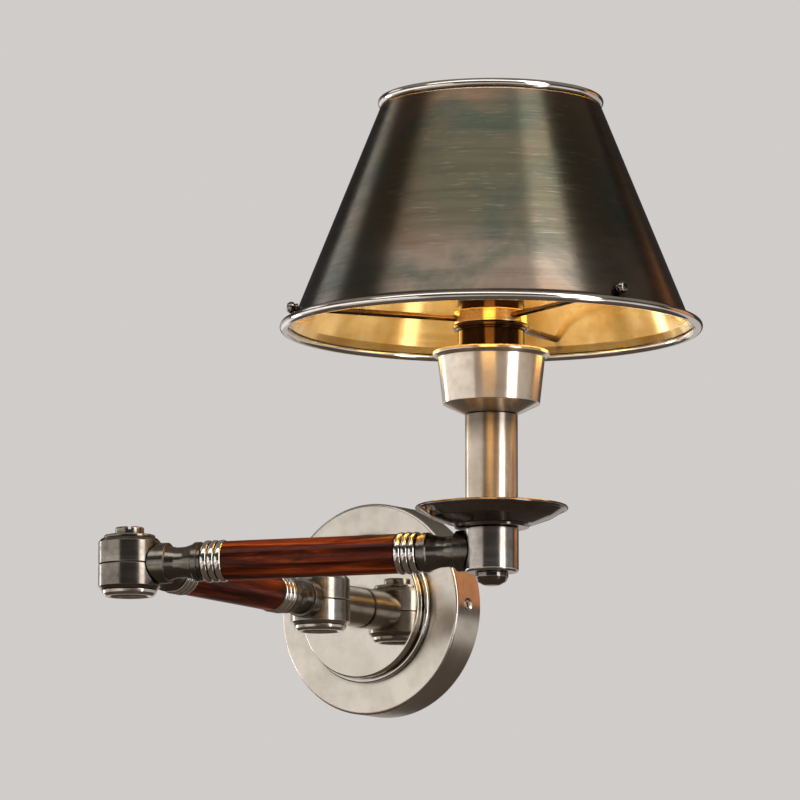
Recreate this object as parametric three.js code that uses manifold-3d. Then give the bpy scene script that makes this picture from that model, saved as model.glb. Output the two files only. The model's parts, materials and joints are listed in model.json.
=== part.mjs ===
// Swing arm wall sconce: a round wall canopy, two rosewood arms on friction knuckles, and a lamp head
// with a drip pan, candle tube, socket cup and a metal cone shade on a three-rod spider.
// Millimetres, +Z up. The wall is the plane y = 0, the lamp stands out along -Y, and the origin is the
// centre of the wall bracket.
import * as THREE from "three";
import { mergeVertices } from "three/addons/utils/BufferGeometryUtils.js";
import Module from "manifold-3d";

const wasm = await Module();
wasm.setup();

// ---- Driving dimensions -------------------------------------------------------------------------------
const GAP = 0.3; // clearance between neighbouring parts
const ARM_LENGTH = 186.8; // pivot to pivot, the same for both arms
const REAR_ANGLE = -85.37; // degrees from +X in plan, pointing almost straight out of the wall
const FRONT_ANGLE = 14.82; // degrees from +X in plan, nearly parallel to the wall

const CANOPY_RADIUS = 55.2;
const CANOPY_DEPTH = 21.8;
const CANOPY_WALL = 1.6;
const BOSS_RING_RADIUS = 38.9;
const BOSS_RING_DEPTH = 3.2;
const BOSS_RADIUS = 36.65;
const BOSS_FRONT = 30.6; // distance of the polished boss face from the wall
const STEM_RADIUS = 10.5;
const WALL_PIVOT = 66.3; // distance of the wall knuckle's axis from the wall

const KNUCKLE_RADIUS = 15.35;
const KNUCKLE_HALF = 10.9; // half of a knuckle's height
const SADDLE_RADIUS = 15.9; // hollow end of each collar, coaxial with the pivot
const POST_RADIUS = 5.8;

const COLLAR_RADIUS = 10.0;
const COLLAR_END = 21.0; // distance from a knuckle axis to the collar's shoulder
const FITTING_LENGTH = 18.9; // shoulder to the first bead: cove and sleeve
const BEAD_PITCH = 3.7;
const BEAD_RADIUS = 10.3;
const BEAD_VALLEY = 9.3;
const BEADS = 3;
const WOOD_RADIUS = 9.65;
const CORE_RADIUS = 5.0;
const CORE_BORE = 3.3;
const FLEX_RADIUS = 2.6;

const BARREL_RADIUS = 13.0; // the plain end barrel that carries the lamp head
const BARREL_COLLAR_END = 17.2;

const TUBE_RADIUS = 12.7;
const PAN_RADIUS = 37.0;
const PAN_RIM_Z = 20.5;
const CUP_RIM_Z = 95.1;
const HUB_Z = 112.2; // height of the spider's rods at the hub
const ROD_END_Z = 115.4; // and at the shade
const SHADE_BOTTOM_Z = 108.1;
const SHADE_TOP_Z = 218.2;
const SHADE_BOTTOM_RADIUS = 99.8; // to the centre of the rolled rim
const SHADE_TOP_RADIUS = 52.4;
const RIM_WIRE = 2.3; // radius of both rolled rims
const SHADE_SHEET = 1.2;
const ROD_RADIUS = 1.6;

// Facets round a turned piece
const WIDE = 32; // canopy, shade and rims
const BODY = 20; // knuckles, arms and cups
const SMALL = 12; // screws, posts and tubes

// ---- Materials ----------------------------------------------------------------------------------------
const finish = (color, roughness, metalness) => ({ color, roughness, metalness });
const PEWTER = finish("#8d8780", 0.3, 1);
const POLISHED = finish("#c9c4bb", 0.12, 1);
const BRONZE = finish("#5b5247", 0.38, 1);
const STEEL = finish("#9a9a98", 0.45, 1);
const BRASS = finish("#c79a4a", 0.3, 1);
const ROSEWOOD = finish("#5a1c0e", 0.22, 0);
const FRICTION = finish("#3a3632", 0.8, 0);
const FLEX = finish("#d9d4c4", 0.6, 0);
const CERAMIC = finish("#ece6d8", 0.4, 0);
const OPAL = finish("#ffe2b0", 0.15, 0);

// ---- Helpers ------------------------------------------------------------------------------------------
const radians = THREE.MathUtils.degToRad;

// A turned piece: profile is a list of [radius, height] running anticlockwise.
function turned(profile, segments = BODY) {
  const points = profile.map(([r, h]) => new THREE.Vector2(r, h));
  return new THREE.LatheGeometry(points, segments).rotateX(Math.PI / 2);
}

// A turned ring or tube: the profile closes on itself.
function turnedRing(profile, segments = BODY) {
  return turned([...profile, profile[0]], segments);
}

// A plain sleeve between two heights.
function sleeve(inner, outer, low, high, segments = SMALL) {
  return turnedRing([[inner, low], [outer, low], [outer, high], [inner, high]], segments);
}

const alongX = (geometry) => geometry.rotateY(Math.PI / 2);
const outOfWall = (geometry) => geometry.rotateX(Math.PI / 2);

function rod(radius, length, segments = SMALL) {
  return new THREE.CylinderGeometry(radius, radius, length, segments).rotateX(Math.PI / 2);
}

function box(x, y, z, cx = 0, cy = 0, cz = 0) {
  return new THREE.BoxGeometry(x, y, z).translate(cx, cy, cz);
}

function toSolid(geometry) {
  const plain = geometry.clone();
  plain.deleteAttribute("normal");
  plain.deleteAttribute("uv");
  const merged = mergeVertices(plain, 1e-4);
  return new wasm.Manifold(
    new wasm.Mesh({
      numProp: 3,
      vertProperties: merged.attributes.position.array,
      triVerts: new Uint32Array(merged.index.array),
    }),
  );
}

function toGeometry(solid) {
  const mesh = solid.getMesh();
  const geometry = new THREE.BufferGeometry();
  geometry.setAttribute("position", new THREE.BufferAttribute(mesh.vertProperties, 3));
  geometry.setIndex(new THREE.BufferAttribute(mesh.triVerts, 1));
  geometry.computeVertexNormals();
  return geometry;
}

function cut(geometry, ...tools) {
  let solid = toSolid(geometry);
  for (const tool of tools) solid = solid.subtract(toSolid(tool));
  return toGeometry(solid);
}

function join(geometry, ...others) {
  let solid = toSolid(geometry);
  for (const other of others) solid = solid.add(toSolid(other));
  return toGeometry(solid);
}

function add(group, name, geometry, look) {
  const mesh = new THREE.Mesh(geometry, new THREE.MeshStandardMaterial(look));
  mesh.name = name;
  group.add(mesh);
  return mesh;
}

function place(parent, x, y, z, degrees = 0) {
  const group = new THREE.Group();
  group.position.set(x, y, z);
  group.rotation.z = radians(degrees);
  parent.add(group);
  return group;
}

const sconce = new THREE.Group();

// ---- Wall mount ---------------------------------------------------------------------------------------
const NIPPLE_RADIUS = 6.3;
const NIPPLE_BORE = 4.4;
const NIPPLE_BACK = 7.0; // distance of the nipple's free end from the wall
const EAR_REACH = CANOPY_RADIUS - CANOPY_WALL - 1.2;
const STRAP_WIDTH = 16;
const STRAP_THICKNESS = 2.4;
const SET_SCREW_Y = -11.5;
const SET_SCREW_RADIUS = 2.4;
const BOX_SCREW_SPACING = 69.9; // two and three quarter inches

const wallMount = place(sconce, 0, 0, 0);

// Strap with a slot for each box screw and a bent, tapped ear at each end for the set screws.
{
  const slots = [-1, 1].map((side) => box(9, 20, 5, (side * BOX_SCREW_SPACING) / 2, 0, 0));
  const ears = [-1, 1].map((side) =>
    box(STRAP_THICKNESS, 17, STRAP_WIDTH, side * (EAR_REACH - STRAP_THICKNESS / 2), -8.5, 0),
  );
  const tap = rod(SET_SCREW_RADIUS + GAP, 2 * EAR_REACH + 4).rotateY(Math.PI / 2);
  const strap = box(2 * EAR_REACH, STRAP_THICKNESS, STRAP_WIDTH, 0, -STRAP_THICKNESS / 2, 0);
  add(
    wallMount,
    "wall_bracket",
    cut(join(strap, ...ears), ...slots, tap.translate(0, SET_SCREW_Y, 0)),
    STEEL,
  );
}

// Deep round cover, open at the back, with a hole for the nipple and one on each side for a set screw.
{
  const inner = CANOPY_RADIUS - CANOPY_WALL;
  const shell = outOfWall(
    turnedRing(
      [
        [NIPPLE_RADIUS + GAP, CANOPY_DEPTH - CANOPY_WALL],
        [inner, CANOPY_DEPTH - CANOPY_WALL],
        [inner, 0.2],
        [CANOPY_RADIUS, 0.2],
        [CANOPY_RADIUS, CANOPY_DEPTH - 1.0],
        [CANOPY_RADIUS - 1.0, CANOPY_DEPTH],
        [NIPPLE_RADIUS + GAP, CANOPY_DEPTH],
      ],
      WIDE,
    ),
  );
  const hole = rod(SET_SCREW_RADIUS + GAP, 2 * CANOPY_RADIUS + 4).rotateY(Math.PI / 2);
  add(wallMount, "canopy", cut(shell, hole.translate(0, SET_SCREW_Y, 0)), PEWTER);
}

[["set_screw_right", 1], ["set_screw_left", -1]].forEach(([name, side]) => {
  const shank = turned([
    [0, -8.0], [SET_SCREW_RADIUS, -8.0], [SET_SCREW_RADIUS, 0.2], [1.9, 0.8],
    [1.1, 0.8], [1.1, -0.8], [0, -0.8],
  ], 12).rotateY((side * Math.PI) / 2);
  add(wallMount, name, shank.translate(side * CANOPY_RADIUS, SET_SCREW_Y, 0), STEEL);
});

add(
  wallMount,
  "boss_ring",
  outOfWall(
    turnedRing(
      [
        [NIPPLE_RADIUS + GAP, CANOPY_DEPTH + GAP],
        [BOSS_RING_RADIUS, CANOPY_DEPTH + GAP],
        [BOSS_RING_RADIUS, CANOPY_DEPTH + BOSS_RING_DEPTH - 1.0],
        [BOSS_RING_RADIUS - 1.0, CANOPY_DEPTH + BOSS_RING_DEPTH],
        [NIPPLE_RADIUS + GAP, CANOPY_DEPTH + BOSS_RING_DEPTH],
      ],
      WIDE,
    ),
  ),
  PEWTER,
);

add(
  wallMount,
  "boss_disc",
  outOfWall(
    turnedRing(
      [
        [NIPPLE_RADIUS + GAP, CANOPY_DEPTH + BOSS_RING_DEPTH + GAP],
        [BOSS_RADIUS - 0.8, CANOPY_DEPTH + BOSS_RING_DEPTH + GAP],
        [BOSS_RADIUS, CANOPY_DEPTH + BOSS_RING_DEPTH + GAP + 0.8],
        [BOSS_RADIUS, BOSS_FRONT - 0.9],
        [BOSS_RADIUS - 0.9, BOSS_FRONT],
        [NIPPLE_RADIUS + GAP, BOSS_FRONT],
      ],
      WIDE,
    ),
  ),
  POLISHED,
);

// Pivot saddle, coaxial with a knuckle at the local origin, used to hollow the end of a stem or collar.
const saddle = (radius) => rod(radius, 40, 24);

// Stem with its hollow threaded nipple, which passes through the boss and the canopy.
{
  const stem = outOfWall(
    turnedRing(
      [
        [NIPPLE_BORE, NIPPLE_BACK],
        [NIPPLE_RADIUS, NIPPLE_BACK],
        [NIPPLE_RADIUS, BOSS_FRONT + GAP],
        [STEM_RADIUS, BOSS_FRONT + GAP],
        [STEM_RADIUS, WALL_PIVOT],
        [NIPPLE_BORE, WALL_PIVOT],
      ],
    ),
  );
  const socket = saddle(SADDLE_RADIUS).translate(0, -WALL_PIVOT, 0);
  add(wallMount, "stem", cut(stem, socket), PEWTER);
}

// Hexagon locknut that draws the stem, boss and canopy together from behind.
{
  const nut = new THREE.CylinderGeometry(11, 11, 4, 6).rotateX(Math.PI);
  const bore = new THREE.CylinderGeometry(NIPPLE_RADIUS + GAP, NIPPLE_RADIUS + GAP, 10, SMALL);
  const seat = -(CANOPY_DEPTH - CANOPY_WALL - GAP - 2);
  add(wallMount, "stem_locknut", cut(nut, bore).translate(0, seat, 0), STEEL);
}

// ---- Knuckles -----------------------------------------------------------------------------------------
// One half of a friction knuckle: a thick-walled ring on the pivot post, hollowed for the wires.
// side is -1 for the lower half and 1 for the upper one. notch opens the wall towards its own arm.
function knuckleHalf(side, notchAngle) {
  const seam = 0.25;
  const bevel = 1.5;
  const rise = 1.7; // height of the bevelled shoulder
  const profile = [
    [POST_RADIUS + GAP, KNUCKLE_HALF - 2.6],
    [11.0, KNUCKLE_HALF - 2.6],
    [11.0, seam],
    [KNUCKLE_RADIUS, seam],
    [KNUCKLE_RADIUS, KNUCKLE_HALF],
    [KNUCKLE_RADIUS - bevel, KNUCKLE_HALF + rise],
    [POST_RADIUS + GAP, KNUCKLE_HALF + rise],
  ];
  const half = turnedRing(profile, 24);
  if (side < 0) half.rotateX(Math.PI);
  const notch = box(14, 6.4, 6.4, KNUCKLE_RADIUS - 3, 0, 0).rotateZ(radians(notchAngle));
  return cut(half, notch);
}

// Hollow post on which a knuckle turns, with a window for the wires.
function pivotPost() {
  const reach = KNUCKLE_HALF + 1.2;
  const post = sleeve(3.9, POST_RADIUS, -reach, reach);
  return cut(post, box(30, 5, 9));
}

// Wave washer that gives the knuckle its friction, round the post inside the hollow halves.
const frictionRing = () => sleeve(POST_RADIUS + GAP, 10.4, -0.6, 0.6);

// Flat washer and slotted cheese-head screw on top of a knuckle.
const SHOULDER = KNUCKLE_HALF + 1.7;

function topWasher() {
  const low = SHOULDER + GAP;
  const high = low + 1.5;
  return turnedRing([[3.6, low], [12.6, low], [12.6, high - 0.6], [12.0, high], [3.6, high]]);
}

function slottedScrew(slotAngle) {
  const seat = SHOULDER + GAP + 1.5 + GAP;
  const screw = turned([
    [0, 4.0], [3.2, 4.0], [3.2, seat], [7.1, seat], [7.1, seat + 3.2], [6.5, seat + 3.8], [0, seat + 3.8],
  ], 16);
  return cut(screw, box(1.5, 20, 3.4, 0, 0, seat + 3.8).rotateZ(radians(slotAngle)));
}

// Recessed cap ring and plug under a knuckle.
function bottomCap() {
  const top = -(SHOULDER + GAP);
  return turned([
    [0, top - 1.3], [9.4, top - 1.3], [9.9, top - 2.8], [11.7, top - 2.8], [13.0, top - 1.6],
    [13.5, top], [0, top],
  ]);
}

function addPivot(group, prefix, slotAngle) {
  add(group, prefix + "_pivot_post", pivotPost(), STEEL);
  add(group, prefix + "_friction_ring", frictionRing(), FRICTION);
  add(group, prefix + "_top_washer", topWasher(), PEWTER);
  add(group, prefix + "_pivot_screw", slottedScrew(slotAngle), PEWTER);
  add(group, prefix + "_bottom_cap", bottomCap(), PEWTER);
}

// ---- Arms ---------------------------------------------------------------------------------------------
// Each arm runs along local +X from its own knuckle to the next one.

// Turned end fitting with collar, cove and sleeve. It starts at a pivot at the local origin.
function endFitting(collarEnd, saddleRadius) {
  const end = collarEnd + FITTING_LENGTH;
  const bore = CORE_RADIUS + GAP;
  const profile = [
    [bore, 6],
    [COLLAR_RADIUS, 6],
    [COLLAR_RADIUS, collarEnd - 0.6],
    [COLLAR_RADIUS - 0.6, collarEnd],
    [8.4, collarEnd],
    [7.5, collarEnd + 3.4],
    [7.5, collarEnd + 7.6],
    [8.9, collarEnd + 13.4],
    [9.7, collarEnd + 14.8],
    [9.7, end - GAP],
    [bore, end - GAP],
  ];
  return cut(alongX(turnedRing(profile, 16)), saddle(saddleRadius));
}

// Three-bead ferrule between a fitting and the wood.
function ferrule(start) {
  const profile = [[CORE_RADIUS + GAP, start]];
  for (let i = 0; i < BEADS; i += 1) {
    const x = start + i * BEAD_PITCH;
    profile.push([BEAD_VALLEY, x]);
    profile.push([BEAD_RADIUS, x + 0.33 * BEAD_PITCH]);
    profile.push([BEAD_RADIUS, x + 0.67 * BEAD_PITCH]);
  }
  const end = start + BEADS * BEAD_PITCH - GAP;
  profile.push([BEAD_VALLEY, end]);
  profile.push([CORE_RADIUS + GAP, end]);
  return alongX(turnedRing(profile, 16));
}

const mirrored = (geometry) => geometry.rotateZ(Math.PI).translate(ARM_LENGTH, 0, 0);

function addArm(group, prefix, nearName, farName, farCollarEnd, farSaddle) {
  const nearFitting = COLLAR_END + FITTING_LENGTH;
  const farFitting = farCollarEnd + FITTING_LENGTH;
  const bands = BEADS * BEAD_PITCH;
  const woodStart = nearFitting + bands;
  const woodEnd = ARM_LENGTH - farFitting - bands;
  const coreStart = SADDLE_RADIUS + 1.5;
  const coreEnd = ARM_LENGTH - farSaddle - 1.5;

  add(group, `${prefix}_fitting_${nearName}`, endFitting(COLLAR_END, SADDLE_RADIUS), PEWTER);
  add(group, `${prefix}_ferrule_${nearName}`, ferrule(nearFitting), POLISHED);
  add(
    group,
    `${prefix}_wood`,
    alongX(
      turnedRing(
        [
          [CORE_RADIUS + GAP, woodStart],
          [WOOD_RADIUS, woodStart],
          [WOOD_RADIUS, woodEnd],
          [CORE_RADIUS + GAP, woodEnd],
        ],
      ),
    ),
    ROSEWOOD,
  );
  add(group, `${prefix}_ferrule_${farName}`, mirrored(ferrule(farFitting)), POLISHED);
  add(group, `${prefix}_fitting_${farName}`, mirrored(endFitting(farCollarEnd, farSaddle)), PEWTER);
  add(group, `${prefix}_core_tube`, alongX(sleeve(CORE_BORE, CORE_RADIUS, coreStart, coreEnd)), STEEL);
  const flexLength = coreEnd - coreStart - 4;
  add(
    group,
    `${prefix}_flex`,
    rod(FLEX_RADIUS, flexLength, 12).rotateY(Math.PI / 2).translate((coreStart + coreEnd) / 2, 0, 0),
    FLEX,
  );
}

// Wall knuckle: the lower half stays on the stem, and the upper half turns with the rear arm.
const STEM_SIDE = 90;
const SCREW_SLOT = 35;
const wallKnuckle = place(wallMount, 0, -WALL_PIVOT, 0);
add(wallKnuckle, "wall_knuckle_lower", knuckleHalf(-1, STEM_SIDE), PEWTER);
addPivot(wallKnuckle, "wall", SCREW_SLOT);

const rearArm = place(sconce, 0, -WALL_PIVOT, 0, REAR_ANGLE);
add(rearArm, "wall_knuckle_upper", knuckleHalf(1, 0), PEWTER);
addArm(rearArm, "rear", "inner", "outer", COLLAR_END, SADDLE_RADIUS);

// Elbow: the lower half stays on the rear arm, and the upper half turns with the front arm.
const elbowX = ARM_LENGTH * Math.cos(radians(REAR_ANGLE));
const elbowY = ARM_LENGTH * Math.sin(radians(REAR_ANGLE)) - WALL_PIVOT;
const elbow = place(rearArm, ARM_LENGTH, 0, 0);
add(elbow, "elbow_lower", knuckleHalf(-1, 180), PEWTER);
addPivot(elbow, "elbow", SCREW_SLOT - REAR_ANGLE);

const frontArm = place(sconce, elbowX, elbowY, 0, FRONT_ANGLE);
add(frontArm, "elbow_upper", knuckleHalf(1, 0), PEWTER);
addArm(frontArm, "front", "inner", "outer", BARREL_COLLAR_END, BARREL_RADIUS + GAP);

// Plain barrel at the far end, bored for the lamp head's nipple, with a side hole for the wires.
const BARREL_TOP = 10.3;
const BARREL_BOTTOM = -10.9;
{
  const barrel = turnedRing(
    [
      [6.6, BARREL_BOTTOM],
      [BARREL_RADIUS - 1.5, BARREL_BOTTOM],
      [BARREL_RADIUS, BARREL_BOTTOM + 1.5],
      [BARREL_RADIUS, BARREL_TOP],
      [6.6, BARREL_TOP],
    ],
  );
  const wireHole = rod(3.4, 14).rotateY(Math.PI / 2).translate(-10, 0, 0);
  const mesh = add(frontArm, "lamp_barrel", cut(barrel, wireHole), PEWTER);
  mesh.position.x = ARM_LENGTH;
}

// ---- Lamp head ----------------------------------------------------------------------------------------
const lampX = elbowX + ARM_LENGTH * Math.cos(radians(FRONT_ANGLE));
const lampY = elbowY + ARM_LENGTH * Math.sin(radians(FRONT_ANGLE));
const lampHead = place(sconce, lampX, lampY, 0);
const NIPPLE_TOP = 84;
const NIPPLE_LOW = -14.2;
const TUBE_TOP = 65.4;
const CUP_BOTTOM = 66.0;

// Long hollow nipple from the domed nut up to the socket, with a window where the wires enter it.
add(
  lampHead,
  "lamp_nipple",
  cut(sleeve(3.4, 5.0, NIPPLE_LOW, NIPPLE_TOP), box(12, 4.5, 7, -5, 0, 0).rotateZ(radians(FRONT_ANGLE))),
  STEEL,
);

// Domed nut under the barrel, blind at the bottom.
add(
  lampHead,
  "domed_nut",
  turned([
    [0, -17.3], [3.6, -17.0], [6.4, -15.7], [8.0, -13.8], [8.0, BARREL_BOTTOM - GAP], [5.3, BARREL_BOTTOM - GAP],
    [5.3, -14.6], [0, -14.6],
  ], 16),
  PEWTER,
);

// Shallow drip pan: a foot, a flared underside and a beaded edge.
add(
  lampHead,
  "drip_pan",
  turnedRing(
    [
      [5.3, BARREL_TOP + GAP],
      [17.8, BARREL_TOP + GAP],
      [18.6, BARREL_TOP + 1.0],
      [PAN_RADIUS - 1.4, 19.2],
      [PAN_RADIUS, PAN_RIM_Z - 0.4],
      [PAN_RADIUS - 1.2, PAN_RIM_Z + 0.8],
      [17.0, 12.6],
      [5.3, 12.6],
    ],
    WIDE,
  ),
  PEWTER,
);

add(
  lampHead,
  "candle_tube",
  turnedRing([[11.6, 12.9], [TUBE_RADIUS, 12.9], [TUBE_RADIUS, TUBE_TOP], [11.6, TUBE_TOP]]),
  PEWTER,
);

// Socket cup: a cone under a straight flared wall with a rolled rim, open at the top.
add(
  lampHead,
  "socket_cup",
  turnedRing(
    [
      [5.3, CUP_BOTTOM - 0.2],
      [13.2, CUP_BOTTOM - 0.2],
      [23.3, 70.7],
      [25.9, CUP_RIM_Z - 2.4],
      [28.4, CUP_RIM_Z - 1.2],
      [28.4, CUP_RIM_Z + 0.4],
      [26.8, CUP_RIM_Z + 1.2],
      [24.8, CUP_RIM_Z],
      [22.0, 71.6],
      [12.6, 67.6],
      [5.3, 67.6],
    ],
    WIDE,
  ),
  PEWTER,
);

// Socket: a locknut, an insulating body and the metal shell that holds the spider.
const SHELL_RADIUS = 16.1;
const SHELL_LOW = 72.0;
const SHELL_HIGH = 131.0;
add(
  lampHead,
  "socket_body",
  turnedRing(
    [
      [5.3, 67.9], [12.0, 67.9], [14.5, 70.4], [14.5, 95.0], [10.5, 95.0], [10.5, 86.5], [5.3, 86.5],
    ],
    SMALL,
  ),
  CERAMIC,
);
add(lampHead, "socket_shell", sleeve(14.9, SHELL_RADIUS, SHELL_LOW, SHELL_HIGH, BODY), BRASS);

// Screw shell that the bulb's base threads into.
add(lampHead, "screw_shell", sleeve(13.4, 14.5, 95.4, 112.0, BODY), BRASS);

// Contact tab that the bulb's tip touches.
add(
  lampHead,
  "centre_contact",
  turned([[0, 87.0], [6.0, 87.0], [6.0, 87.9], [2.2, 88.8], [0, 88.8]], 12),
  BRASS,
);

// Spider: hub ring on the socket shell, and three rods that rise a little on their way to the shade.
const HUB_RADIUS = 18.0;
const ROD_ANGLES = { rod_left: 222.5, rod_front: 342.5, rod_rear: 102.5 };
const shadeWall = (z) => {
  const t = (z - SHADE_BOTTOM_Z) / (SHADE_TOP_Z - SHADE_BOTTOM_Z);
  return THREE.MathUtils.lerp(SHADE_BOTTOM_RADIUS - 3.4, SHADE_TOP_RADIUS - 0.4, t);
};
const wallRadius = shadeWall(ROD_END_Z);
const rodTilt = Math.atan((ROD_END_Z - HUB_Z) / (wallRadius - HUB_RADIUS));

// Moves a piece built along +X from the lamp's axis onto a rod's line.
function alongRod(geometry, degrees) {
  return geometry
    .rotateY(-rodTilt)
    .translate(0, 0, HUB_Z - HUB_RADIUS * Math.tan(rodTilt))
    .rotateZ(radians(degrees));
}

// A plain bar along +X between two distances from the lamp's axis.
function barBetween(radius, start, end, segments) {
  return rod(radius, end - start, segments).rotateY(Math.PI / 2).translate((start + end) / 2, 0, 0);
}

{
  const hub = sleeve(SHELL_RADIUS + GAP, HUB_RADIUS, HUB_Z - 3.2, HUB_Z + 3.2, BODY);
  const holes = Object.values(ROD_ANGLES).map((degrees) =>
    alongRod(barBetween(ROD_RADIUS + GAP, HUB_RADIUS - 0.9, HUB_RADIUS + 3, 10), degrees),
  );
  add(lampHead, "spider_hub", cut(hub, ...holes), BRASS);
}

// Threaded ring under the hub, which clamps it on the shell.
add(
  lampHead,
  "retaining_ring",
  turnedRing([
    [SHELL_RADIUS + GAP, HUB_Z - 6.2], [17.3, HUB_Z - 6.2], [17.3, HUB_Z - 5.4], [18.5, HUB_Z - 5.2],
    [18.5, HUB_Z - 3.9], [18.1, HUB_Z - 3.5], [SHELL_RADIUS + GAP, HUB_Z - 3.5],
  ]),
  BRASS,
);

const SCREW_SHANK = 1.1;
const rodStart = HUB_RADIUS - 0.6;
const rodEnd = wallRadius - SHADE_SHEET - 0.9;
Object.entries(ROD_ANGLES).forEach(([name, degrees]) => {
  const tap = barBetween(SCREW_SHANK + 0.25, rodEnd - 7, rodEnd + 3, 8);
  const bar = cut(barBetween(ROD_RADIUS, rodStart, rodEnd, 10), tap);
  add(lampHead, "spider_" + name, alongRod(bar, degrees), BRASS);

  // Round-headed screw through the shade into the rod's end.
  const head = turned([
    [0, -7.0], [SCREW_SHANK, -7.0], [SCREW_SHANK, 1.4], [1.7, 1.4], [1.7, 2.2], [2.7, 3.0],
    [2.9, 4.3], [2.2, 5.6], [0, 6.3],
  ], 10).rotateY(Math.PI / 2);
  add(lampHead, name.replace("rod", "shade_screw"), alongRod(head.translate(wallRadius, 0, 0), degrees), PEWTER);
});

// Cone shade, open at the top and bottom, with a small flare at the foot.
{
  const half = SHADE_SHEET / 2;
  const lowZ = SHADE_BOTTOM_Z + 1.0;
  const highZ = SHADE_TOP_Z - RIM_WIRE - GAP - 0.6;
  const cone = turnedRing(
    [
      [SHADE_BOTTOM_RADIUS - RIM_WIRE - GAP - SHADE_SHEET - 0.2, lowZ],
      [SHADE_BOTTOM_RADIUS - RIM_WIRE - GAP, lowZ],
      [shadeWall(SHADE_BOTTOM_Z + 5) + half, SHADE_BOTTOM_Z + 5],
      [shadeWall(highZ) + half, highZ],
      [shadeWall(highZ) - half, highZ],
      [shadeWall(SHADE_BOTTOM_Z + 5) - half, SHADE_BOTTOM_Z + 5],
    ],
    WIDE,
  );
  const holes = Object.values(ROD_ANGLES).map((degrees) =>
    alongRod(barBetween(SCREW_SHANK + GAP, wallRadius - 5, wallRadius + 5, 8), degrees),
  );
  add(lampHead, "shade", cut(cone, ...holes), BRONZE);
}

// Rolled wire edge of the shade.
function rolledRim(radius, z) {
  return new THREE.TorusGeometry(radius, RIM_WIRE, 8, WIDE).translate(0, 0, z);
}
add(lampHead, "shade_rim_bottom", rolledRim(SHADE_BOTTOM_RADIUS, SHADE_BOTTOM_Z), POLISHED);
add(lampHead, "shade_rim_top", rolledRim(SHADE_TOP_RADIUS, SHADE_TOP_Z), POLISHED);

// Bulb: a screw base inside the shell and a round glass envelope above it.
add(
  lampHead,
  "bulb_base",
  turned([[0, 89.3], [4.0, 89.3], [9.5, 95.4], [13.0, 95.4], [13.0, 113.0], [0, 113.0]], 16),
  BRASS,
);
add(
  lampHead,
  "bulb_glass",
  turned([
    [0, 113.3], [12.8, 113.3], [13.2, 128.0], [15.0, 134.0], [22.5, 145.5], [28.4, 156.0],
    [29.6, 167.0], [24.6, 180.5], [12.5, 188.8], [0, 191.0],
  ]),
  OPAL,
);

export default sconce;
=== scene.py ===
import json
import math

import bmesh
import bpy
from mathutils import Matrix, Vector


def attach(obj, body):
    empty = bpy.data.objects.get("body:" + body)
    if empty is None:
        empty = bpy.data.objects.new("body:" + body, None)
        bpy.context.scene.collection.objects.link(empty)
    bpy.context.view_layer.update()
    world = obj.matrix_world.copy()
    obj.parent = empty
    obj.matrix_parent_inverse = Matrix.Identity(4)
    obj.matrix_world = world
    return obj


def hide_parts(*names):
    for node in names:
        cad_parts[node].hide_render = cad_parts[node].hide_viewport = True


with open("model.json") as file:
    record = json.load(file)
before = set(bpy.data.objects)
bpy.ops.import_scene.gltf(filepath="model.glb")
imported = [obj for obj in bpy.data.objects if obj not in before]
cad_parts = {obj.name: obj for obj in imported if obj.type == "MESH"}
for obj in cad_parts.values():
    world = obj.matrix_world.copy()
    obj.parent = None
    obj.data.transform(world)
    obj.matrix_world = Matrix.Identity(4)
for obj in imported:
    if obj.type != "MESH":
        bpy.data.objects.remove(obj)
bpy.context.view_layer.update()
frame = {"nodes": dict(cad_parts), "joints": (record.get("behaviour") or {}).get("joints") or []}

# Swing arm wall sconce. Lengths in this script are millimetres along each turned piece's own axis, and
# MM turns them into the frame's metres. The camera, the stage and the studio lights are placed in metres.
# The wall is the plane y = 0 and the lamp stands out along -Y.
MM = 0.001


def joint_point(name):
    joint = next(j for j in frame["joints"] if j["name"] == name)
    return Vector(joint["pos_m"])


WALL_PIVOT = joint_point("wall_swing")
ELBOW_PIVOT = joint_point("elbow_swing")
LAMP_AXIS = joint_point("lamp_swivel")
ARM_LENGTH = (ELBOW_PIVOT - WALL_PIVOT).length / MM

# ---- Camera -------------------------------------------------------------------------------------------
CAMERA_AZIMUTH = math.radians(33.94)
CAMERA_ELEVATION = math.radians(-8.11)
CAMERA_DISTANCE = 3.2
CAMERA_TARGET = Vector((0.0856, -0.12, 0.09152))
SENSOR_WIDTH = 36
FOCAL_LENGTH = 286.45


def direction(azimuth, elevation):
    """Unit vector towards an azimuth counted from -Y towards +X, and an elevation."""
    return Vector(
        (
            math.sin(azimuth) * math.cos(elevation),
            -math.cos(azimuth) * math.cos(elevation),
            math.sin(elevation),
        )
    )


def aim(obj, location, target):
    obj.location = location
    obj.rotation_euler = (target - location).to_track_quat("-Z", "Y").to_euler()


def link(obj):
    bpy.context.scene.collection.objects.link(obj)
    return obj


camera = link(bpy.data.objects.new("camera", bpy.data.cameras.new("camera")))
camera.data.sensor_width = SENSOR_WIDTH
camera.data.lens = FOCAL_LENGTH
camera_place = CAMERA_TARGET + CAMERA_DISTANCE * direction(CAMERA_AZIMUTH, CAMERA_ELEVATION)
aim(camera, camera_place, CAMERA_TARGET)
bpy.context.scene.camera = camera

# ---- Node helpers -------------------------------------------------------------------------------------


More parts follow.
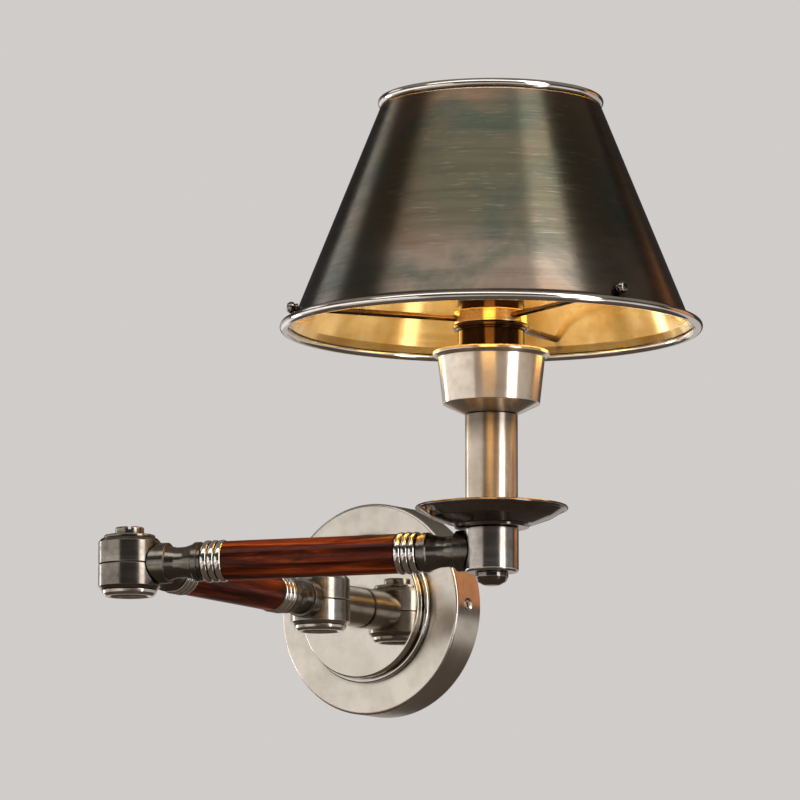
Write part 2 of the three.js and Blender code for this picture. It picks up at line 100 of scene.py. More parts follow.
class Graph:
    """A material's node tree, with its Principled shader at hand. offset shifts all its noise."""

    def __init__(self, name, offset=0.0):
        self.offset = offset
        self.material = bpy.data.materials.new(name)
        self.material.use_nodes = True
        self.tree = self.material.node_tree
        self.shader = self.tree.nodes["Principled BSDF"]

    def add(self, kind, inputs=None, **settings):
        made = self.tree.nodes.new(kind)
        for key, value in settings.items():
            setattr(made, key, value)
        self.feed(made, inputs or {})
        return made

    def feed(self, target, inputs):
        for key, value in inputs.items():
            socket = target.inputs[key]
            if isinstance(value, bpy.types.NodeSocket):
                self.tree.links.new(value, socket)
            else:
                socket.default_value = value

    def finish(self, **inputs):
        self.feed(self.shader, {key.replace("_", " "): value for key, value in inputs.items()})
        return self.material

    def coordinates(self, scale=(1, 1, 1)):
        place = self.add("ShaderNodeTexCoord").outputs["Object"]
        inputs = {"Vector": place, "Scale": scale, "Location": (self.offset,) * 3}
        return self.add("ShaderNodeMapping", inputs).outputs[0]

    def noise(self, scale=(1, 1, 1), detail=4, roughness=0.55, distortion=0.0):
        inputs = {
            "Vector": self.coordinates(scale),
            "Scale": 1.0,
            "Detail": detail,
            "Roughness": roughness,
            "Distortion": distortion,
        }
        return self.add("ShaderNodeTexNoise", inputs).outputs["Fac"]

    def ramp(self, factor, stops, interpolation="LINEAR"):
        made = self.add("ShaderNodeValToRGB", {"Fac": factor})
        made.color_ramp.interpolation = interpolation
        elements = made.color_ramp.elements
        while len(elements) < len(stops):
            elements.new(0.5)
        for element, (position, colour) in zip(elements, stops):
            element.position = position
            element.color = (*colour, 1)
        return made.outputs["Color"]

    def mix(self, factor, first, second, blend_type="MIX"):
        made = self.add("ShaderNodeMix", data_type="RGBA", blend_type=blend_type)
        colours = [socket for socket in made.inputs if socket.type == "RGBA"]
        self.feed(made, {"Factor": factor})
        for socket, value in zip(colours, (first, second)):
            if isinstance(value, bpy.types.NodeSocket):
                self.tree.links.new(value, socket)
            else:
                socket.default_value = (*value, 1)
        return next(socket for socket in made.outputs if socket.type == "RGBA")

    def fit(self, value, low, high, source_low=0.0, source_high=1.0):
        inputs = {
            "Value": value,
            "From Min": source_low,
            "From Max": source_high,
            "To Min": low,
            "To Max": high,
        }
        return self.add("ShaderNodeMapRange", inputs).outputs["Result"]

    def bump(self, height, strength, distance):
        inputs = {"Height": height, "Strength": strength, "Distance": distance}
        return self.add("ShaderNodeBump", inputs).outputs["Normal"]

    def round_axis(self):
        return self.add("ShaderNodeTangent", direction_type="RADIAL", axis="Z").outputs["Tangent"]

    def recesses(self, distance):
        made = self.add("ShaderNodeAmbientOcclusion", {"Distance": distance}, samples=8)
        return made.outputs["AO"]


# ---- Materials ----------------------------------------------------------------------------------------
# Metres in texture space: a scale of 60 gives marks of about 1/60 m. Every turned piece's own axis is Z, so
# a large Z scale gives the fine rings that a lathe and a polishing mop leave.
# Colour and strength of the painted shadow that the cup casts on the candle tube
PAINTED_SHADOW = (0.1, 0.07, 0.05)
PAINTED_SHADOW_SHARE = 0.75
RING_SHARE = 0.16
# Reach of the darkening in recesses, which is partly grime and partly painted shade
GRIME_AND_SHADE_DEPTH = 3.6


def turned_metal(
    name,
    clean,
    stained,
    gloss,
    stain=0.45,
    line=0.05,
    grime_and_shade=0.55,
    stretch=0.7,
    metallic=1.0,
    speckle=0.35,
    fluting=0.0,
    shadow_heights=None,
    offset=0.0,
):
    """Metal finished on a lathe. gloss is the lowest and highest roughness, speckle is how dark the pits
    are, fluting is the share of stain that runs in streaks along the axis, shadow_heights holds the
    heights in mm between which a painted shadow darkens the piece towards its top, and offset shifts
    the noise so that two finishes don't share their marks."""
    graph = Graph(name, offset)
    patches = graph.noise((55, 55, 55), detail=6, roughness=0.62)
    specks = graph.noise((420, 420, 420), detail=3)
    rings = graph.noise((9, 9, 1400), detail=0)
    wide_rings = graph.noise((9, 9, 260), detail=2)
    tarnish = graph.fit(patches, 0.0, 1.0, 0.5 - 0.25 * stain, 0.88 - 0.25 * stain)
    colour = graph.mix(tarnish, clean, stained)
    colour = graph.mix(graph.fit(specks, 0.0, speckle, 0.62, 0.72), colour, stained)
    # Painted shadow: darker towards the top of the piece, standing in for the shade under the cup
    if shadow_heights:
        height = graph.add("ShaderNodeSeparateXYZ", {"Vector": graph.coordinates()}).outputs["Z"]
        start, full = shadow_heights
        cup_shadow = graph.fit(height, 0.0, PAINTED_SHADOW_SHARE, start * MM, full * MM)
        colour = graph.mix(cup_shadow, colour, PAINTED_SHADOW)
    if fluting:
        flutes = graph.noise((34, 34, 5), detail=3, roughness=0.6)
        colour = graph.mix(graph.fit(flutes, 0.0, fluting, 0.48, 0.66), colour, stained)
    colour = graph.mix(graph.fit(rings, 0.0, RING_SHARE, 0.5, 0.8), colour, stained)
    # Darker in recesses and between parts: partly grime, partly painted shade
    shadow = graph.fit(graph.recesses(GRIME_AND_SHADE_DEPTH * MM), grime_and_shade, 0.0, 0.35, 0.88)
    dark = tuple(0.1 * part for part in stained)
    colour = graph.mix(shadow, colour, dark)
    middle = graph.mix(0.5, patches, wide_rings)
    roughness = graph.fit(middle, gloss[0], gloss[1], 0.35, 0.65)
    normal = graph.bump(rings, line, 0.05 * MM)
    return graph.finish(
        Base_Color=colour,
        Metallic=metallic,
        Roughness=roughness,
        Anisotropic=stretch,
        Anisotropic_Rotation=0.25,
        Tangent=graph.round_axis(),
        Normal=normal,
    )


def shade_patina():
    """Dark bronze, brushed round the cone, with brown and green patches and a paler foot."""
    graph = Graph("shade_patina")
    height = graph.add("ShaderNodeSeparateXYZ", {"Vector": graph.coordinates()}).outputs["Z"]
    drift = graph.noise((9, 9, 22), detail=4, roughness=0.6)
    clouds = graph.noise((15, 15, 17), detail=6, roughness=0.6, distortion=0.4)
    streaks = graph.noise((7, 7, 330), detail=4, roughness=0.6)
    brush = graph.noise((16, 16, 1900), detail=3, roughness=0.6)
    marks = graph.noise((70, 70, 1000), detail=2, roughness=0.7)
    share = graph.fit(height, 0.0, 1.0, 108 * MM, 218 * MM)
    wander = graph.fit(drift, -0.22, 0.22)
    level = graph.add("ShaderNodeMath", {0: share, 1: wander}, operation="ADD").outputs[0]
    base = graph.ramp(
        level,
        [
            (0.0, (0.187, 0.149, 0.118)),
            (0.2, (0.171, 0.138, 0.11)),
            (0.34, (0.1, 0.088, 0.062)),
            (0.6, (0.084, 0.08, 0.054)),
            (0.8, (0.105, 0.086, 0.056)),
            (1.0, (0.16, 0.108, 0.07)),
        ],
    )
    green = graph.fit(clouds, 0.0, 0.8, 0.5, 0.66)
    colour = graph.mix(green, base, (0.042, 0.068, 0.056))
    brown = graph.fit(clouds, 0.75, 0.0, 0.32, 0.48)
    colour = graph.mix(brown, colour, (0.125, 0.075, 0.042))
    colour = graph.mix(graph.fit(streaks, 0.0, 0.2, 0.5, 0.72), colour, (0.0413, 0.0363, 0.0297))
    colour = graph.mix(graph.fit(marks, 0.0, 0.4, 0.58, 0.74), colour, (0.24, 0.205, 0.165))
    # Painted shade: darker next to the rim wires, rods and screws
    recess_shade = graph.fit(graph.recesses(6 * MM), 0.75, 0.0, 0.45, 0.9)
    colour = graph.mix(recess_shade, colour, (0.0165, 0.0143, 0.0121))
    roughness = graph.fit(graph.mix(0.5, clouds, streaks), 0.17, 0.28, 0.35, 0.65)
    return graph.finish(
        Base_Color=colour,
        Metallic=1.0,
        Roughness=roughness,
        Anisotropic=0.45,
        Anisotropic_Rotation=0.25,
        Tangent=graph.round_axis(),
        Normal=graph.bump(brush, 0.3, 0.06 * MM),
    )


def rosewood():
    """Lacquered rosewood with its grain along the piece's axis."""
    graph = Graph("rosewood_lacquer")
    grain = graph.noise((230, 230, 15), detail=7, roughness=0.62, distortion=0.7)
    broad = graph.noise((95, 95, 15), detail=4, distortion=1.1)
    pores = graph.noise((1500, 1500, 60), detail=2)
    colour = graph.ramp(
        grain,
        [
            (0.3, (0.008, 0.002, 0.001)),
            (0.44, (0.034, 0.005, 0.0014)),
            (0.57, (0.105, 0.015, 0.0026)),
            (0.75, (0.36, 0.075, 0.01)),
        ],
    )
    colour = graph.mix(graph.fit(broad, 0.0, 0.9, 0.52, 0.64), colour, (0.013, 0.0045, 0.0027))
    colour = graph.mix(graph.fit(pores, 0.0, 0.5, 0.6, 0.72), colour, (0.022, 0.006, 0.004))
    return graph.finish(
        Base_Color=colour,
        Roughness=graph.fit(grain, 0.3, 0.46),
        Specular_IOR_Level=0.03,
        Coat_Weight=0.22,
        Coat_Roughness=0.06,
        Normal=graph.bump(pores, 0.12, 0.05 * MM),
    )


def plain_surface(name, first, second, roughness, metallic=0.0, scale=90, **more):
    """A simple hidden or matt finish with two mottled colours and a slight grain."""
    graph = Graph(name)
    mottle = graph.noise((scale, scale, scale), detail=5)
    grain = graph.noise((1300, 1300, 1300), detail=2)
    return graph.finish(
        Base_Color=graph.mix(graph.fit(mottle, 0.0, 1.0, 0.35, 0.65), first, second),
        Metallic=metallic,
        Roughness=graph.fit(grain, roughness - 0.06, roughness + 0.06, 0.35, 0.65),
        Normal=graph.bump(grain, 0.15, 0.05 * MM),
        **more,
    )


def braided_sleeve():
    """Woven glass sleeving on the wires inside the arms."""
    graph = Graph("braided_sleeve")
    place = graph.coordinates((1100, 1100, 1100))
    weave = graph.add("ShaderNodeTexChecker", {"Vector": place, "Scale": 1.0}).outputs["Fac"]
    wear = graph.noise((300, 300, 300))
    colour = graph.mix(weave, (0.7, 0.66, 0.55), (0.5, 0.46, 0.37))
    return graph.finish(
        Base_Color=graph.mix(graph.fit(wear, 0.0, 0.3), colour, (0.3, 0.26, 0.2)),
        Roughness=0.75,
        Normal=graph.bump(weave, 0.4, 0.1 * MM),
    )


def glowing_glass():
    """Lit opal bulb with a faint cloud between two warm tints."""
    graph = Graph("glowing_opal")
    cloud = graph.noise((40, 40, 40), detail=2)
    warm = graph.mix(cloud, (1.0, 0.74, 0.4), (1.0, 0.82, 0.52))
    return graph.finish(
        Base_Color=warm,
        Roughness=0.2,
        Emission_Color=warm,
        Emission_Strength=1.25,
    )


PEWTER = turned_metal(
    "antique_nickel",
    (0.7, 0.66, 0.605),
    (0.24, 0.205, 0.175),
    (0.15, 0.27),
    stain=0.55,
    grime_and_shade=0.95,
    stretch=0.3,
    fluting=0.35,
)
# Darker copy of the antique nickel for the elbow knuckle: painted shade
SHADED_PEWTER = turned_metal(
    "shaded_pewter",
    (0.38, 0.345, 0.3),
    (0.085, 0.07, 0.055),
    (0.17, 0.27),
    stain=0.5,
    grime_and_shade=0.95,
    stretch=0.3,
    fluting=0.3,
    offset=3.7,
)
BRUSHED = turned_metal(
    "brushed_nickel",
    (0.86, 0.8, 0.7),
    (0.56, 0.47, 0.37),
    (0.22, 0.28),
    line=0.02,
    grime_and_shade=0.85,
    stretch=0.85,
    speckle=0.0,
    fluting=0.1,
)
TUBE = turned_metal(
    "tube_nickel",
    (0.86, 0.8, 0.7),
    (0.56, 0.47, 0.37),
    (0.31, 0.37),
    line=0.02,
    grime_and_shade=0.5,
    stretch=0.93,
    speckle=0.0,
    fluting=0.15,
    # Painted shadow of the cup, darker towards the top of the tube
    shadow_heights=(50, 62),
)
CAP = turned_metal(
    "cap_nickel",
    (0.74, 0.7, 0.65),
    (0.42, 0.37, 0.33),
    (0.1, 0.18),
    grime_and_shade=0.35,
    stretch=0.3,
)
# Antique nickel darkened for the arms' end fittings: painted shade of the dark room they reflect
FITTING = turned_metal(
    "shaded_fitting_nickel",
    (0.26, 0.24, 0.21),
    (0.085, 0.07, 0.056),
    (0.18, 0.3),
    stain=0.55,
    grime_and_shade=0.95,
    stretch=0.3,
)
SATIN = turned_metal(
    "satin_nickel",
    (0.74, 0.685, 0.61),
    (0.55, 0.495, 0.42),
    (0.2, 0.28),
    stain=0.3,
    stretch=0.5,
)
POLISHED = turned_metal(
    "polished_nickel",
    (0.83, 0.8, 0.75),
    (0.58, 0.53, 0.46),
    (0.06, 0.13),
    stain=0.2,
    line=0.03,
    grime_and_shade=0.95,
    stretch=0.2,
)
MIRROR = turned_metal(
    "mirror_nickel",
    (0.69, 0.645, 0.575),
    (0.55, 0.5, 0.43),
    (0.03, 0.07),
    stain=0.3,
    line=0.015,
    stretch=0.0,
)
# Antique nickel darkened for the drip pan, domed nut and thumb screws: painted shade
SHADED_NICKEL = turned_metal(
    "shaded_nickel",
    (0.3, 0.26, 0.235),
    (0.12, 0.1, 0.085),
    (0.09, 0.16),
    grime_and_shade=0.8,
)
DARK_BRONZE = turned_metal(
    "dark_bronze",
    (0.06, 0.034, 0.02),
    (0.022, 0.013, 0.008),
    (0.1, 0.18),
    stretch=0.3,
)
WARM_BRASS = turned_metal(
    "aged_brass",
    (0.78, 0.56, 0.27),
    (0.45, 0.29, 0.12),
    (0.2, 0.3),
    line=0.04,
    stretch=0.6,
)
ROD_BRASS = turned_metal(
    "dull_brass",
    (0.2, 0.125, 0.055),
    (0.07, 0.042, 0.02),
    (0.2, 0.3),
    stretch=0.0,
)
# Polished nickel lining coloured gold: the gold is painted warm light from the bulb
SHADE_INSIDE = turned_metal(
    "painted_warm_lining",
    (0.95, 0.75, 0.36),
    (0.6, 0.36, 0.1),
    (0.14, 0.22),
    stain=0.4,
    line=0.02,
    grime_and_shade=0.2,
    stretch=0.3,
    metallic=0.9,
    fluting=0.7,
)
SHADE_OUTSIDE = shade_patina()
ROSEWOOD = rosewood()
STEEL = plain_surface("zinc_plated_steel", (0.55, 0.55, 0.54), (0.38, 0.38, 0.37), 0.42, metallic=1.0)
FIBRE = plain_surface("friction_fibre", (0.05, 0.045, 0.04), (0.09, 0.08, 0.07), 0.8)
CERAMIC = plain_surface("socket_ceramic", (0.82, 0.79, 0.72), (0.7, 0.66, 0.58), 0.35)
BRASS_PLAIN = plain_surface("plain_brass", (0.72, 0.5, 0.2), (0.5, 0.32, 0.12), 0.3, metallic=1.0)
SLEEVING = braided_sleeve()
OPAL = glowing_glass()

# ---- Mesh helpers -------------------------------------------------------------------------------------
ARC_STEPS = 4
OUT_OF_WALL = Matrix.Rotation(math.pi / 2, 4, "X")
ALONG_X = Matrix.Rotation(math.pi / 2, 4, "Y")
UPSIDE_DOWN = Matrix.Rotation(math.pi, 4, "X")


def turn(degrees):
    return Matrix.Rotation(math.radians(degrees), 4, "Z")


def shift(x, y, z):
    return Matrix.Translation(Vector((x, y, z)) * MM)


def rounded(profile, closed, fillet):
    """The profile with its corners rounded. A corner's third number is its own radius."""
    smooth = []
    last = len(profile) - 1
    for i, corner in enumerate(profile):
        here = Vector(corner[:2])
        radius = corner[2] if len(corner) > 2 else fillet
        if radius == 0 or (not closed and i in (0, last)):
            smooth.append(here)
            continue
        before = Vector(profile[i - 1][:2]) - here
        after = Vector(profile[(i + 1) % len(profile)][:2]) - here
        reach = radius / math.tan(before.angle(after) / 2)
        reach = min(reach, 0.48 * before.length, 0.48 * after.length)
        start = here + reach * before.normalized()
        end = here + reach * after.normalized()
        for k in range(ARC_STEPS + 1):
            t = k / ARC_STEPS
            smooth.append((1 - t) ** 2 * start + 2 * t * (1 - t) * here + t * t * end)
    return smooth


def turned(profile, closed=True, fillet=0.3, segments=72, shape=None):
    """bmesh of a turned solid. profile holds (radius, height) corners; shape moves each point, in mm."""
    bm = bmesh.new()
    rings = []
    for radius, height in rounded(profile, closed, fillet):
        count = 1 if radius < 1e-6 else segments
        ring = []
        for i in range(count):
            angle = 2 * math.pi * i / segments
            point = Vector((radius * math.cos(angle), radius * math.sin(angle), height))
            ring.append(bm.verts.new(MM * (shape(point) if shape else point)))
        rings.append(ring)
    pairs = list(zip(rings, rings[1:]))
    if closed:
        pairs.append((rings[-1], rings[0]))
    for low, high in pairs:
        for i in range(segments):
            j = i + 1
            corners = [low[i % len(low)], low[j % len(low)], high[j % len(high)], high[i % len(high)]]
            corners = list(dict.fromkeys(corners))
            if len(corners) > 2:
                bm.faces.new(corners)
    bmesh.ops.remove_doubles(bm, verts=bm.verts, dist=1e-7)
    bmesh.ops.recalc_face_normals(bm, faces=bm.faces)
    return bm


def block(x, y, z, place):
    bm = bmesh.new()
    bmesh.ops.create_cube(bm, size=1, matrix=place @ Matrix.Diagonal((x * MM, y * MM, z * MM, 1)))
    return bm


def to_object(name, bm):
    mesh = bpy.data.meshes.new(name)
    bm.to_mesh(mesh)
    bm.free()
    return link(bpy.data.objects.new(name, mesh))


def carve(obj, *cutters):
    """Cuts each bmesh out of the object."""
    for cutter in cutters:
        tool = to_object("cutter", cutter)
        cut = obj.modifiers.new("cut", "BOOLEAN")
        cut.operation = "DIFFERENCE"
        cut.solver = "EXACT"
        cut.object = tool
        depsgraph = bpy.context.evaluated_depsgraph_get()
        result = bpy.data.meshes.new_from_object(obj.evaluated_get(depsgraph))
        obj.modifiers.remove(cut)
        obj.data = result
        bpy.data.objects.remove(tool)
    return obj


def shade_smooth(obj, sharp=38):
    obj.data.shade_smooth()
    obj.data.set_sharp_from_angle(angle=math.radians(sharp))
    even = obj.modifiers.new("even_normals", "WEIGHTED_NORMAL")
    even.keep_sharp = True
    even.weight = 60


def fit_out(obj, material, place, body, nodes):
    """Gives a piece its place, finish and body, and hides the CAD nodes that it stands for."""
    materials = material if isinstance(material, tuple) else (material,)
    obj.data.materials.clear()
    for each in materials:
        obj.data.materials.append(each)
    shade_smooth(obj)
    obj.matrix_world = place
    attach(obj, body)
    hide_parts(*nodes)
    return obj


def make(name, bm, material, place, body, nodes):
    return fit_out(to_object(name, bm), material, place, body, nodes)


# ---- Wall mount ---------------------------------------------------------------------------------------
NIPPLE_BORE = 4.4
NIPPLE_RADIUS = 6.3
NIPPLE_BACK = 7.0
CANOPY_RADIUS = 55.2
CANOPY_DEPTH = 21.8
CANOPY_WALL = 1.6
SET_SCREW_DEPTH = 11.5
BOSS_RING_RADIUS = 38.9
BOSS_STEP_BACK = 22.1
BOSS_STEP_FRONT = 25.0
BOSS_RADIUS = 36.65
BOSS_BACK = 25.3
BOSS_FRONT = 30.6
STEM_RADIUS = 10.5
SADDLE_RADIUS = 15.9
PIVOT_DEPTH = -WALL_PIVOT.y / MM
HOLE_RADIUS = NIPPLE_RADIUS + 0.3

canopy = to_object(
    "canopy_cover",
    turned(
        [
            (HOLE_RADIUS, CANOPY_DEPTH - CANOPY_WALL),
            (CANOPY_RADIUS - CANOPY_WALL, CANOPY_DEPTH - CANOPY_WALL, 0.8),
            (CANOPY_RADIUS - CANOPY_WALL, 0.2),
            (CANOPY_RADIUS, 0.2),
            (CANOPY_RADIUS, CANOPY_DEPTH, 1.6),
            (HOLE_RADIUS, CANOPY_DEPTH),
        ],
        segments=144,
    ),
)


def facing_side(side):
    """Turns a piece's own axis towards +X for side 1, or -X for side -1."""
    return Matrix.Rotation(side * math.pi / 2, 4, "Y")


# Countersunk hole on each side, for a set screw
COUNTERSINK = [(0, -3), (2.7, -3), (2.7, -0.9), (3.7, 0.1), (3.7, 3), (0, 3)]
side_holes = []
for side in (1, -1):
    hole = turned(COUNTERSINK, closed=False, fillet=0, segments=32)
    hole_place = shift(side * CANOPY_RADIUS, 0, SET_SCREW_DEPTH) @ facing_side(side)
    bmesh.ops.transform(hole, verts=hole.verts, matrix=hole_place)
    side_holes.append(hole)
carve(canopy, *side_holes)
fit_out(canopy, SATIN, OUT_OF_WALL, "wall_mount", ["canopy"])

SET_SCREW = [
    (0, -8.0),
    (2.4, -8.0),
    (2.4, -0.6, 0.5),
    (1.3, -0.6, 0.1),
    (1.1, -1.6, 0.1),
    (0, -1.7),
]
for label, side in (("right", 1), ("left", -1)):
    make(
        "grub_screw_" + label,
        turned(SET_SCREW, closed=False, segments=36),
        POLISHED,
        shift(side * CANOPY_RADIUS, -SET_SCREW_DEPTH, 0) @ facing_side(side),
        "wall_mount",
        ["set_screw_" + label],
    )

make(
    "boss_step",
    turned(
        [
            (HOLE_RADIUS, BOSS_STEP_BACK),
            (BOSS_RING_RADIUS, BOSS_STEP_BACK),
            (BOSS_RING_RADIUS, BOSS_STEP_FRONT, 1.1),
            (HOLE_RADIUS, BOSS_STEP_FRONT),
        ],
        segments=120,
    ),
    POLISHED,
    OUT_OF_WALL,
    "wall_mount",
    ["boss_ring"],
)
make(
    "boss_mirror",
    turned(
        [
            (HOLE_RADIUS, BOSS_BACK),
            (BOSS_RADIUS - 0.8, BOSS_BACK),
            (BOSS_RADIUS, BOSS_BACK + 0.8),
            (BOSS_RADIUS, BOSS_FRONT, 1.2),
            (HOLE_RADIUS, BOSS_FRONT),
        ],
        segments=120,
    ),
    MIRROR,
    OUT_OF_WALL,
    "wall_mount",
    ["boss_disc"],
)


def stem_saddle(point):
    """Hollows the stem's free end to fit the knuckle."""
    if point.z > PIVOT_DEPTH - 2:
        point.z -= math.sqrt(SADDLE_RADIUS**2 - point.x**2)
    return point


make(
    "stem_turned",
    turned(
        [
            (NIPPLE_BORE, NIPPLE_BACK),
            (NIPPLE_RADIUS, NIPPLE_BACK),
            (NIPPLE_RADIUS, BOSS_FRONT + 0.3, 0),
            (STEM_RADIUS, BOSS_FRONT + 0.3, 0.5),
            (STEM_RADIUS, PIVOT_DEPTH, 0.4),
            (8.0, PIVOT_DEPTH, 0),
            (6.0, PIVOT_DEPTH, 0),
            (NIPPLE_BORE, PIVOT_DEPTH, 0),
        ],
        shape=stem_saddle,
    ),
    PEWTER,
    OUT_OF_WALL,
    "wall_mount",
    ["stem"],
)

# ---- Knuckles -----------------------------------------------------------------------------------------
KNUCKLE_RADIUS = 15.35
KNUCKLE_HALF = 10.9
SHOULDER = 12.6
POST_CLEARANCE = 6.1
SCREW_SEAT = 14.7
SCREW_TOP = 18.5
SCREW_RADIUS = 7.1
SLOT_ANGLE = 35
SLOT_WIDTH = 1.7
SLOT_LENGTH = 20
SLOT_HEIGHT = 3.6

KNUCKLE = [
    (POST_CLEARANCE, 8.3),
    (11.0, 8.3),
    (11.0, 0.12),
    (KNUCKLE_RADIUS, 0.12, 0.5),
    (KNUCKLE_RADIUS, KNUCKLE_HALF, 0.4),
    (13.85, SHOULDER, 0.35),
    (POST_CLEARANCE, SHOULDER),
]
TOP_WASHER = [(3.6, 12.9), (12.6, 12.9), (12.6, 14.4, 0.75), (3.6, 14.4)]
SLOTTED_SCREW = [
    (0, 4.0),
    (3.2, 4.0),
    (3.2, SCREW_SEAT),
    (SCREW_RADIUS, SCREW_SEAT, 0.2),
    (SCREW_RADIUS, SCREW_TOP - 0.25, 0.9),
    (0, SCREW_TOP),
]
# Measured downwards from the pivot's middle
BOTTOM_CAP = [
    (0, 12.9),
    (13.5, 12.9, 0.2),
    (13.1, 14.4, 0.5),
    (11.9, 15.7, 0.5),
    (10.3, 15.7, 0.35),
    (9.6, 14.4, 0.3),
    (0, 14.1),
]


def add_pivot(prefix, body, place, finish):
    """Washer, slotted screw and recessed cap of one knuckle."""
    make(
        prefix + "_washer_turned",
        turned(TOP_WASHER),
        finish,
        place,
        body,
        [prefix + "_top_washer"],
    )
    screw = to_object(prefix + "_screw_slotted", turned(SLOTTED_SCREW, closed=False, segments=64))
    carve(screw, block(SLOT_WIDTH, SLOT_LENGTH, SLOT_HEIGHT, shift(0, 0, SCREW_TOP)))
    fit_out(screw, finish, place @ turn(SLOT_ANGLE), body, [prefix + "_pivot_screw"])
    make(
        prefix + "_cap_turned",
        turned(BOTTOM_CAP, closed=False),
        CAP,
        place @ UPSIDE_DOWN,
        body,
        [prefix + "_bottom_cap"],
    )


def add_knuckle(prefix, place, lower_body, upper_body, finish):
    make(
        prefix + "_lower_turned",
        turned(KNUCKLE),
        finish,
        place @ UPSIDE_DOWN,
        lower_body,
        [prefix + "_lower"],
    )
    make(
        prefix + "_upper_turned",
        turned(KNUCKLE),
        finish,
        place,
        upper_body,
        [prefix + "_upper"],
    )


wall_knuckle_place = Matrix.Translation(WALL_PIVOT)
elbow_place = Matrix.Translation(ELBOW_PIVOT)
add_knuckle("wall_knuckle", wall_knuckle_place, "wall_mount", "rear_arm", PEWTER)
# The elbow knuckle and its pivot carry the darker copy of the nickel, as painted shade
add_knuckle("elbow", elbow_place, "rear_arm", "front_arm", SHADED_PEWTER)
add_pivot("wall", "wall_mount", wall_knuckle_place, PEWTER)
add_pivot("elbow", "rear_arm", elbow_place, SHADED_PEWTER)

# ---- Arms ---------------------------------------------------------------------------------------------
COLLAR_RADIUS = 10.0
COLLAR_END = 21.0
BARREL_COLLAR_END = 17.2
BARREL_RADIUS = 13.0
FITTING_LENGTH = 18.9
CORE_CLEARANCE = 5.3
BEADS = 3
BEAD_PITCH = 3.7
BEAD_CREST = 10.3
BEAD_VALLEY = 9.05
BEAD_STEPS = 8
WOOD_RADIUS = 9.65


def end_fitting(collar_end, hollow):
    """Collar, cove and sleeve along +Z. Its near end fits a barrel of radius hollow at the origin."""
    start = 10.0

    def saddle(point):
        if point.z < start + 1:
            point.z += math.sqrt(hollow**2 - point.y**2) - start
        return point

    end = collar_end + FITTING_LENGTH - 0.3
    profile = [
        (CORE_CLEARANCE, start, 0),
        (6.8, start, 0),
        (8.4, start, 0),
        (COLLAR_RADIUS, start, 0.45),
        (COLLAR_RADIUS, collar_end, 0.45),
        (8.5, collar_end, 0.3),
        (7.45, collar_end + 4.4, 6),
        (7.6, collar_end + 9.0, 8),
        (9.0, collar_end + 13.6, 0.6),
        (9.7, collar_end + 14.1, 0.5),
        (9.7, end - 1.7, 0.2),
        (9.1, end - 1.5, 0.1),
        (9.1, end, 0.1),
        (CORE_CLEARANCE, end),
    ]
    return turned(profile, shape=saddle)


def ferrule(start):
    """Three half-round beads along +Z."""
    profile = [(CORE_CLEARANCE, start, 0)]
    for i in range(BEADS):
        middle = start + (i + 0.5) * BEAD_PITCH
        for k in range(BEAD_STEPS + 1):
            across = -math.cos(math.pi * k / BEAD_STEPS)
            swell = math.sqrt(max(0, 1 - across**2))
            radius = BEAD_VALLEY + (BEAD_CREST - BEAD_VALLEY) * swell
            profile.append((radius, middle + 0.47 * BEAD_PITCH * across, 0))
    profile.append((CORE_CLEARANCE, start + BEADS * BEAD_PITCH - 0.15, 0))
    return turned(profile)


def add_arm(prefix, body, start, far_collar_end, far_hollow):
    """Fittings, ferrules and wood. start is the arm's own frame, with the arm along its X."""
    near = start @ ALONG_X
    far = start @ shift(ARM_LENGTH, 0, 0) @ turn(180) @ ALONG_X
    near_bead = COLLAR_END + FITTING_LENGTH
    far_bead = far_collar_end + FITTING_LENGTH
    ends = (
        ("inner", near, COLLAR_END, SADDLE_RADIUS, near_bead),
        ("outer", far, far_collar_end, far_hollow, far_bead),
    )
    for label, place, collar_end, hollow, bead in ends:
        make(
            f"{prefix}_cove_{label}",
            end_fitting(collar_end, hollow),
            FITTING,
            place,
            body,
            [f"{prefix}_fitting_{label}"],
        )
        make(
            f"{prefix}_beads_{label}",
            ferrule(bead),
            POLISHED,
            place,
            body,
            [f"{prefix}_ferrule_{label}"],
        )
    wood_start = near_bead + BEADS * BEAD_PITCH
    wood_end = ARM_LENGTH - far_bead - BEADS * BEAD_PITCH
    wood = turned(
        [
            (CORE_CLEARANCE, wood_start),
            (WOOD_RADIUS, wood_start),
            (WOOD_RADIUS, wood_end),
            (CORE_CLEARANCE, wood_end),
        ],
        fillet=0.4,
    )
    make(f"{prefix}_rosewood", wood, ROSEWOOD, near, body, [f"{prefix}_wood"])


def arm_frame(start, end):
    along = end - start
    return Matrix.Translation(start) @ Matrix.Rotation(math.atan2(along.y, along.x), 4, "Z")


rear_frame = arm_frame(WALL_PIVOT, ELBOW_PIVOT)
front_frame = arm_frame(ELBOW_PIVOT, LAMP_AXIS)
add_arm("rear", "rear_arm", rear_frame, COLLAR_END, SADDLE_RADIUS)
add_arm("front", "front_arm", front_frame, BARREL_COLLAR_END, BARREL_RADIUS + 0.3)

lamp_place = Matrix.Translation(LAMP_AXIS)
make(
    "end_barrel",
    turned([(6.6, -10.9), (BARREL_RADIUS, -10.9, 1.6), (BARREL_RADIUS, 10.3, 0.4), (6.6, 10.3)]),
    PEWTER,
    lamp_place,
    "front_arm",
    ["lamp_barrel"],
)

# ---- Lamp head ----------------------------------------------------------------------------------------
HUB_Z = 112.2
HUB_RADIUS = 18.0
ROD_END_Z = 115.4
ROD_RADIUS = 1.6
ROD_ANGLES = {"left": 222.5, "front": 342.5, "rear": 102.5}
SHADE_BOTTOM_Z = 108.1
SHADE_TOP_Z = 218.2
SHADE_BOTTOM_RADIUS = 99.8
SHADE_TOP_RADIUS = 52.4
RIM_WIRE = 2.3
SHEET = 1.0
FOOT_HEIGHT = 4
FOOT_INSET = 3.4
TOP_INSET = 0.4
SCREW_REACH = 2.1


def add_lamp(name, profile, material, nodes, closed=True, fillet=0.3, segments=96, place=None):
    bm = turned(profile, closed, fillet, segments)
    return make(name, bm, material, place or lamp_place, "lamp_head", nodes)


